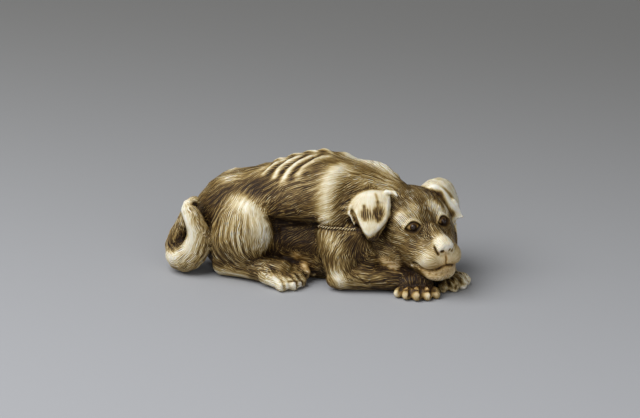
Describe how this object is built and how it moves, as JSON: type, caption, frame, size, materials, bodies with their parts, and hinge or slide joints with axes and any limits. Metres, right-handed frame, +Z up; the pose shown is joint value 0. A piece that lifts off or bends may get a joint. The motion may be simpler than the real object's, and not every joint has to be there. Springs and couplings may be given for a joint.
{
  "type": "netsuke",
  "caption": "Netsuke carved as a lean puppy lying down, chin on its crossed forepaws and tail curled over its haunch, with inlaid dark pupils and a cord channel underneath.",
  "frame": {"origin": "under the middle of the piece, on the surface that it stands on", "axes": "+X from rump to head, +Y to the puppy's left side, +Z up"},
  "size_m": [0.0572, 0.0258, 0.023],
  "materials": {
    "ivory": "polished ivory, stained brown in the cut fur",
    "dark_horn": "polished dark horn"
  },
  "bodies": {
    "root": {"ivory_puppy": "ivory", "right_pupil": "dark_horn", "left_pupil": "dark_horn"}
  },
  "joints": []
}
